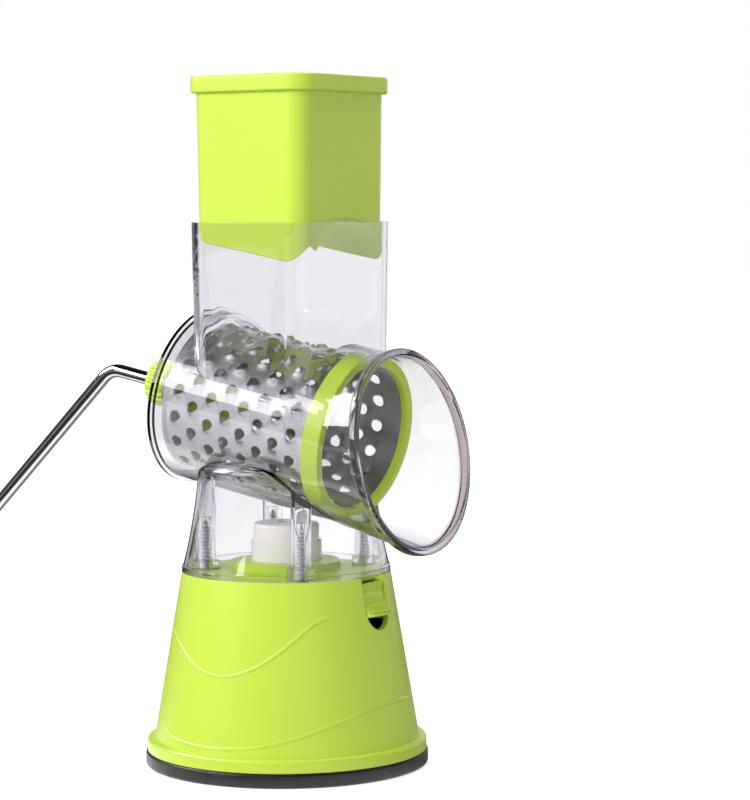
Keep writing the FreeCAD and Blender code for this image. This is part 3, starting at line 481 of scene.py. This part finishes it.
# Raised wave lines on the cone, as angle about the middle in degrees and height in millimetres.
waves = {
    "footRadius": 58.5 * mm, "footHeight": 12.2 * mm,
    "topRadius": 46.1 * mm, "topHeight": 85.5 * mm,
    "bead": 1.4 * mm, "sunk": 1.05 * mm, "stations": 96, "taper": 0.07, "sides": 24, "smoothTo": 60,
    "upper": [(-136.0, 60.6), (-126.5, 57.8), (-116.1, 53.9), (-108.5, 50.4), (-100.2, 47.1),
              (-91.6, 45.4), (-82.4, 45.7), (-72.5, 48.6), (-63.0, 53.4), (-53.5, 59.7),
              (-45.5, 65.4), (-38.6, 69.0), (-31.5, 70.9)],
    "lower": [(-135.4, 22.6), (-116.6, 16.6), (-104.4, 15.4), (-95.1, 14.9), (-79.9, 15.4),
              (-66.6, 16.9), (-49.6, 20.9), (-36.2, 24.9), (-26.4, 27.4), (-15.2, 30.0),
              (-1.5, 31.4), (9.0, 31.3), (19.5, 30.4)],
}


def along(points, share):                                   # Catmull-Rom through the chosen points
    place = share * (len(points) - 1)
    first = min(int(place), len(points) - 2)
    t = place - first
    near = [points[min(max(first + step, 0), len(points) - 1)] for step in (-1, 0, 1, 2)]
    return tuple(0.5 * (2 * b + (c - a) * t + (2 * a - 5 * b + 4 * c - d) * t * t
                        + (3 * b - a - 3 * c + d) * t ** 3) for a, b, c, d in zip(*near))


# Each line is sunk a little into the cone's face and dives below it at both ends, so it fades out.
def waveCurve():
    curve = bpy.data.curves.new("waveLines", "CURVE")
    curve.dimensions = "3D"
    slope = (waves["footRadius"] - waves["topRadius"]) / (waves["topHeight"] - waves["footHeight"])
    for turn in (0.0, 180.0):                               # the cone's back carries the same pair
        for line in ("upper", "lower"):
            spline = curve.splines.new("POLY")
            spline.points.add(waves["stations"] - 1)
            for i in range(waves["stations"]):
                share = i / (waves["stations"] - 1)
                angle, height = along(waves[line], share)
                angle, height = math.radians(angle + turn), height * mm
                fade = 1.0 - min(share, 1.0 - share, waves["taper"]) / waves["taper"]
                sunk = waves["sunk"] + (waves["bead"] - waves["sunk"]) * fade * fade
                radius = waves["topRadius"] + slope * (waves["topHeight"] - height) - sunk
                x, y = radius * math.cos(angle), radius * math.sin(angle)
                spline.points[i].co = (x, y, height, 1.0)
    return curve


def waveTree():
    tree, given = newTree("beadOnCone", [("Bead", "NodeSocketFloat")])
    profile = addNode(tree, "GeometryNodeCurvePrimitiveCircle", Resolution=waves["sides"],
                      Radius=given["Bead"])
    bead = addNode(tree, "GeometryNodeCurveToMesh", Curve=given["Geometry"], Profile_Curve=profile,
                   Fill_Caps=True)
    closeTree(tree, bead)
    return tree


# Self tapping screws that hold the clear body: each a turned blank with one helical thread.
screw = {
    "head": 3.4 * mm, "headHeight": 2.2 * mm, "dome": ((0.7, 0.0), (0.93, 0.35), (1.0, 0.55)),
    "core": 1.45 * mm, "thread": 0.5 * mm, "pitch": 1.6 * mm, "stepsPerTurn": 24,
    "plain": 3.0 * mm, "runOut": 0.6 * mm, "point": 2.0 * mm, "sides": 28,
}


def screwBlank(low, high):
    head, core, under = screw["head"], screw["core"], low + screw["headHeight"]
    outline = [(0.0, low)]
    outline += [(head * out, low + rise * screw["headHeight"]) for out, rise in screw["dome"]]
    outline += [(head, under), (core, under), (core, high - screw["point"]), (0.0, high)]
    work = bmesh.new()
    loops = []
    for radius, z in outline:
        if radius:
            angles = [2 * math.pi * i / screw["sides"] for i in range(screw["sides"])]
            loops.append([work.verts.new((radius * math.cos(a), radius * math.sin(a), z))
                          for a in angles])
        else:
            loops.append([work.verts.new((0, 0, z))])
    for near, far in zip(loops, loops[1:]):
        for i in range(screw["sides"]):
            j = (i + 1) % screw["sides"]
            ring = [near[i % len(near)], near[j % len(near)], far[j % len(far)], far[i % len(far)]]
            work.faces.new(list(dict.fromkeys(ring)))       # triangles at both ends
    mesh = bpy.data.meshes.new("screwBlank")
    work.to_mesh(mesh)
    work.free()
    return mesh


def screwTree():
    labels = ("Core", "Thread", "Start", "Length", "Pitch", "Spacing")
    tree, given = newTree("threadedScrews", [(label, "NodeSocketFloat") for label in labels])
    turns = addNode(tree, "ShaderNodeMath", divide, Value=given["Length"], Value_001=given["Pitch"])
    helix = addNode(tree, "GeometryNodeCurveSpiral", Resolution=screw["stepsPerTurn"],
                    Rotations=turns, Start_Radius=given["Core"], End_Radius=given["Core"],
                    Height=given["Length"])
    upright = addNode(tree, "GeometryNodeSetCurveNormal", {"mode": "Z_UP"}, Curve=helix)
    ridge = addNode(tree, "GeometryNodeCurvePrimitiveCircle", Resolution=4, Radius=given["Thread"])
    thread = addNode(tree, "GeometryNodeCurveToMesh", Curve=upright, Profile_Curve=ridge,
                     Fill_Caps=True)
    lift = addNode(tree, "ShaderNodeCombineXYZ", Z=given["Start"])
    placed = addNode(tree, "GeometryNodeTransform", Geometry=thread, Translation=lift)
    whole = addNode(tree, "GeometryNodeJoinGeometry", Geometry=placed)
    tree.links.new(given["Geometry"], whole.inputs[0])
    square = addNode(tree, "GeometryNodeMeshGrid", Size_X=given["Spacing"], Size_Y=given["Spacing"],
                     Vertices_X=2, Vertices_Y=2)
    copies = addNode(tree, "GeometryNodeInstanceOnPoints", Points=square, Instance=whole)
    closeTree(tree, copies)
    return tree


def makeScrews():
    source = nodes["body_screws"]
    corners = [source.matrix_world @ vertex.co for vertex in source.data.vertices]
    low, high = min(c.z for c in corners), max(c.z for c in corners)
    spacing = 2 * (max(c.x for c in corners) - screw["head"])
    start = low + screw["headHeight"] + screw["plain"]
    mesh = grown(screwBlank(low, high), screwTree(), {
        "Core": screw["core"], "Thread": screw["thread"], "Start": start, "Pitch": screw["pitch"],
        "Length": high - screw["point"] - screw["runOut"] - start, "Spacing": spacing})
    return addPiece("body_screws_threaded", mesh, bodyOf["body_screws"], slotOf["body_screws"],
                    ["body_screws"])


# The lever's tab is scooped out and runs into its lip in one sweep; the lip is round and curls up.
lever = {
    "faceAtTop": 45.5 * mm, "baseTop": 85.5 * mm, "lean": 0.1692, "half": 8.1 * mm,
    "tabTop": 82.8 * mm, "lipTop": 71.0 * mm, "lipLow": 68.4 * mm, "reach": 4.6 * mm,
    "scoop": 1.3 * mm, "sweep": 3.0 * mm, "corner": 0.85, "cornerEnd": 0.98,
    "curl": 0.9 * mm, "curlAbove": 0.5, "underside": 1.0 * mm,
    "step": 0.5 * mm, "snap": 0.001 * mm, "slack": 0.01 * mm,
}


def shapeLever(work):
    def faceAt(z):
        return lever["faceAtTop"] + lever["lean"] * (lever["baseTop"] - z)

    foot = faceAt(lever["lipTop"])
    spans = (((1, 0, 0), foot, foot + lever["reach"]), ((0, 1, 0), -lever["half"], lever["half"]),
             ((0, 0, 1), lever["lipLow"], lever["tabTop"]))
    for way, low, high in spans:                            # cut the tab fine enough to bend
        count = round((high - low) / lever["step"])
        for i in range(1, count):
            bmesh.ops.bisect_plane(work, geom=work.verts[:] + work.edges[:] + work.faces[:],
                                   plane_co=Vector(way) * (low + (high - low) * i / count),
                                   plane_no=way, dist=lever["snap"])
    sweep, slack = lever["sweep"], lever["slack"]
    for vertex in work.verts:
        x, y, z = vertex.co
        if not lever["lipLow"] - slack < z < lever["tabTop"] + slack:
            continue
        out = x - faceAt(max(z, lever["lipTop"]))
        if out < -2 * slack:                                # behind the tab's face
            continue
        over = z - lever["lipTop"]
        if over > sweep:
            share = (over - sweep) / (lever["tabTop"] - lever["lipTop"] - sweep)
            vertex.co.x -= lever["scoop"] * math.sin(math.pi * share)
            continue
        sideways = min(1.0, abs(y) / lever["half"])
        narrow = 1 - lever["corner"] * (1 - math.sqrt(1 - lever["cornerEnd"] * sideways ** 2))
        if over > -slack and out < sweep:                   # the sweep from the tab into the lip
            turn = math.pi / 4 * (1 - over / sweep if over > slack else 1 + out / sweep)
            out, z = sweep * (1 - math.cos(turn)), lever["lipTop"] + sweep * (1 - math.sin(turn))
            vertex.co.x = faceAt(z) + out * narrow
            vertex.co.z = z
            continue
        vertex.co.x = foot + out * narrow
        if over < -lever["underside"]:
            vertex.co.z += lever["curl"] * (out / lever["reach"]) ** 2
        elif out > sweep:
            tip = (out - sweep) / (lever["reach"] - sweep)
            vertex.co.z += lever["curlAbove"] * lever["curl"] * tip ** 2


for node in sorted(nodes):
    if node not in ("drum_shell", "body_screws"):
        finishedNode(node, shapeLever if node == "suction_lever" else None)
print("nodes finished")
makeDrum()
print("drum punched")
makeScrews()
print("screws threaded")
waveMesh = grown(waveCurve(), waveTree(), {"Bead": waves["bead"]}, waves["smoothTo"])
addPiece("cone_wave_lines", waveMesh, "base", "green_abs")
print("wave lines raised")


# The floor's spans are in metres. The room's are the height of the way looked along, and darkSpan
# is how far that way turns to the dark side. Glows are strengths of white.
studio = {
    "floorHalf": 6.0, "floorGrey": "#D8D8D8", "aim": (0, 0, 0.15),
    "nearGlow": 0.62, "farGlow": 1.0, "glowSpan": (0.15, 0.8), "throughGlow": 0.74,
    "mirrorNear": 1.7, "mirrorBehind": 0.35, "behindSpan": (-0.01, 0.03),
    "frontSpan": (-0.115, -0.08), "patchSpan": (0.25, 0.5),
    "mirrorFar": 0.06, "mirrorWall": 1.0, "wallSpan": (1.6, 2.1),
    "sky": 0.36, "ceiling": 0.10, "ceilingSpan": (0.42, 0.72),
    "mirrorCeiling": 0.06, "mirrorCeilingSpan": (0.16, 0.36),
    "darkSide": (-0.84, -0.54, 0.0), "darkSpan": (-0.1, 0.45), "mirrorDark": 0.12,
    "turnedDark": 0.05, "turnedDeep": 0.8,
    "mirroredOnce": 0.5, "wallsPassed": 3.5,                # counts of a ray's turns
    "key": {"place": (-0.67, -1.281, 0.895), "size": (0.85, 0.8), "power": 15.0},
    "front": {"place": (0.15, -1.45, 0.95), "size": (0.9, 0.7), "power": 9.3, "mirrored": False},
    "band": {"place": (-0.943, -0.394, 0.741), "size": (0.5, 0.57), "power": 11.0,
             "lights": False},                              # shows only in mirrors
    "fill": {"place": (1.5, -0.9, 0.5), "size": (0.8, 1.2), "power": 1.0},
    "top": {"place": (0.0, 0.35, 1.3), "size": (0.9, 0.9), "power": 7.0},
}


def addLamp(name):
    look = studio[name]
    lamp = bpy.data.lights.new(name + "Lamp", "AREA")
    lamp.shape = "RECTANGLE"
    lamp.size, lamp.size_y = look["size"]
    lamp.energy = look["power"]
    holder = bpy.data.objects.new(name + "Lamp", lamp)
    holder.location = look["place"]
    holder.rotation_mode = "QUATERNION"
    towards = Vector(studio["aim"]) - Vector(look["place"])
    holder.rotation_quaternion = towards.to_track_quat("-Z", "Y")
    holder.visible_transmission = False                     # no lamp shows through the clear walls
    holder.visible_glossy = look.get("mirrored", True)
    holder.visible_diffuse = look.get("lights", True)
    bpy.context.scene.collection.objects.link(holder)


# One side of the room is dark. Chrome shows it as dark streaks, and clear plastic as dark edges
# where light has been turned back inside its wall.
def darkShare(tree, way):
    unit = addNode(tree, "ShaderNodeVectorMath", {"operation": "NORMALIZE"}, Vector=way)
    towards = addNode(tree, "ShaderNodeVectorMath", {"operation": "DOT_PRODUCT"}, Vector=unit,
                      Vector_001=studio["darkSide"]).outputs["Value"]
    return addNode(tree, "ShaderNodeMapRange", smooth, Value=towards,
                   From_Min=studio["darkSpan"][0], From_Max=studio["darkSpan"][1])


# How bright the room is for each kind of ray: plain light on a face, mirrored, through a clear wall
# or seen straight.
def seenStrength(tree, dim, plain, mirrored, through, straight):
    path = addNode(tree, "ShaderNodeLightPath").outputs
    turned = addNode(tree, "ShaderNodeMath", greater, Value=path["Glossy Depth"],
                     Value_001=studio["mirroredOnce"])
    deep = addNode(tree, "ShaderNodeMath", greater, Value=path["Transmission Depth"],
                   Value_001=studio["wallsPassed"])
    dark = addNode(tree, "ShaderNodeMapRange", Value=deep, To_Min=studio["turnedDark"],
                   To_Max=studio["turnedDeep"])
    share = addNode(tree, "ShaderNodeMath", multiply, Value=turned, Value_001=dim)
    kept = addNode(tree, "ShaderNodeMapRange", Value=share, To_Min=1.0, To_Max=dark)
    inside = addNode(tree, "ShaderNodeMath", multiply, Value=through, Value_001=kept)
    first = addNode(tree, "ShaderNodeMix", Factor_Float=path["Is Glossy Ray"], A_Float=plain,
                    B_Float=mirrored)
    second = addNode(tree, "ShaderNodeMix", Factor_Float=path["Is Transmission Ray"], A_Float=first,
                     B_Float=inside)
    return addNode(tree, "ShaderNodeMix", Factor_Float=path["Is Camera Ray"], A_Float=second,
                   B_Float=straight)


# The room is white all round; mirrors and clear edges also find its dim ceiling.
def makeRoom():
    world = bpy.data.worlds.new("whiteRoom")
    bpy.context.scene.world = world
    world.use_nodes = True
    tree = world.node_tree
    tree.nodes.clear()
    way = addNode(tree, "ShaderNodeTexCoord").outputs["Generated"]
    rise = addNode(tree, "ShaderNodeSeparateXYZ", Vector=way).outputs["Z"]
    span, mirrorSpan = studio["ceilingSpan"], studio["mirrorCeilingSpan"]
    through = addNode(tree, "ShaderNodeMapRange", smooth, Value=rise, From_Min=span[0],
                      From_Max=span[1], To_Min=1.0, To_Max=studio["ceiling"])
    mirrored = addNode(tree, "ShaderNodeMapRange", smooth, Value=rise, From_Min=mirrorSpan[0],
                       From_Max=mirrorSpan[1], To_Min=1.0, To_Max=studio["mirrorCeiling"])
    dim = darkShare(tree, way)
    shaded = addNode(tree, "ShaderNodeMapRange", Value=dim, To_Min=1.0, To_Max=studio["mirrorDark"])
    mirror = addNode(tree, "ShaderNodeMath", multiply, Value=mirrored, Value_001=shaded)
    strength = seenStrength(tree, dim, studio["sky"], mirror, through, 1.0)
    white = addNode(tree, "ShaderNodeBackground", Color=(1, 1, 1, 1), Strength=strength)
    addNode(tree, "ShaderNodeOutputWorld", Surface=white)


# A matt board whose glow rises away from the part until it meets the white room without an edge.
# Mirrors find it dark, bright close to the part, and white from where a wall would stand.
def makeFloor():
    half = studio["floorHalf"]
    corners = [(-half, -half, 0), (half, -half, 0), (half, half, 0), (-half, half, 0)]
    mesh = bpy.data.meshes.new("floor")
    mesh.from_pydata(corners, [], [(0, 1, 2, 3)])
    floor = bpy.data.objects.new("floor", mesh)
    bpy.context.scene.collection.objects.link(floor)
    material, tree = newMaterial("mattWhiteBoard")
    place = addNode(tree, "ShaderNodeTexCoord").outputs["Object"]
    length = addNode(tree, "ShaderNodeVectorMath", {"operation": "LENGTH"}, Vector=place)
    far = length.outputs["Value"]
    depth = addNode(tree, "ShaderNodeSeparateXYZ", Vector=place).outputs["Y"]
    glow = addNode(tree, "ShaderNodeMapRange", smooth, Value=far,
                   From_Min=studio["glowSpan"][0], From_Max=studio["glowSpan"][1],
                   To_Min=studio["nearGlow"], To_Max=studio["farGlow"])
    behind = addNode(tree, "ShaderNodeMapRange", smooth, Value=depth,
                     From_Min=studio["behindSpan"][0], From_Max=studio["behindSpan"][1],
                     To_Min=studio["mirrorNear"], To_Max=studio["mirrorBehind"])
    front = addNode(tree, "ShaderNodeMapRange", smooth, Value=depth,
                    From_Min=studio["frontSpan"][0], From_Max=studio["frontSpan"][1])
    close = addNode(tree, "ShaderNodeMapRange", smooth, Value=far,
                    From_Min=studio["patchSpan"][0], From_Max=studio["patchSpan"][1],
                    To_Min=1.0, To_Max=0.0)
    bright = addNode(tree, "ShaderNodeMath", multiply, Value=front, Value_001=close)
    wall = addNode(tree, "ShaderNodeMapRange", smooth, Value=far,
                   From_Min=studio["wallSpan"][0], From_Max=studio["wallSpan"][1],
                   To_Min=studio["mirrorFar"], To_Max=studio["mirrorWall"])
    mirrored = addNode(tree, "ShaderNodeMix", Factor_Float=bright, A_Float=wall, B_Float=behind)
    through = addNode(tree, "ShaderNodeMath", multiply, Value=glow, Value_001=studio["throughGlow"])
    strength = seenStrength(tree, darkShare(tree, place), 0.0, mirrored, through, glow)
    path = addNode(tree, "ShaderNodeLightPath").outputs
    reflected = addNode(tree, "ShaderNodeMath", {"operation": "SUBTRACT", "use_clamp": True},
                        Value=path["Is Glossy Ray"], Value_001=path["Is Transmission Ray"])
    board = addNode(tree, "ShaderNodeMix", inColour, Factor_Float=reflected,
                    A_Color=hexColour(studio["floorGrey"]), B_Color=(0, 0, 0, 1))
    matt = addNode(tree, "ShaderNodeBsdfDiffuse", Color=board)
    shine = addNode(tree, "ShaderNodeEmission", Color=(1, 1, 1, 1), Strength=strength)
    both = addNode(tree, "ShaderNodeAddShader", Shader=matt, Shader_001=shine)
    addNode(tree, "ShaderNodeOutputMaterial", Surface=both)
    mesh.materials.append(material)


view = {
    "azimuth": 33.12, "rise": 3.98, "roll": -0.19, "place": (0.69959, -1.00014, 0.24532),
    "lens": 124.9, "sensor": 36.0,                          # the lens is for the frame's long side
}


def makeCamera():
    azimuth, rise, roll = (math.radians(view[name]) for name in ("azimuth", "rise", "roll"))
    back = Vector((math.sin(azimuth) * math.cos(rise), -math.cos(azimuth) * math.cos(rise),
                   math.sin(rise)))
    level = Vector((math.cos(azimuth), math.sin(azimuth), 0))
    lift = back.cross(level)
    right = level * math.cos(roll) + lift * math.sin(roll)
    upward = lift * math.cos(roll) - level * math.sin(roll)
    camera = bpy.data.cameras.new("camera")
    camera.sensor_width = view["sensor"]
    camera.lens = view["lens"]
    holder = bpy.data.objects.new("camera", camera)
    turn = Matrix((right, upward, back)).transposed().to_4x4()
    turn.translation = Vector(view["place"])
    holder.matrix_world = turn
    bpy.context.scene.collection.objects.link(holder)
    bpy.context.scene.camera = holder


makeRoom()
makeFloor()
makeCamera()
for name in ("key", "front", "band", "fill", "top"):
    addLamp(name)
bpy.context.scene.view_settings.view_transform = "Standard"
print("studio made")
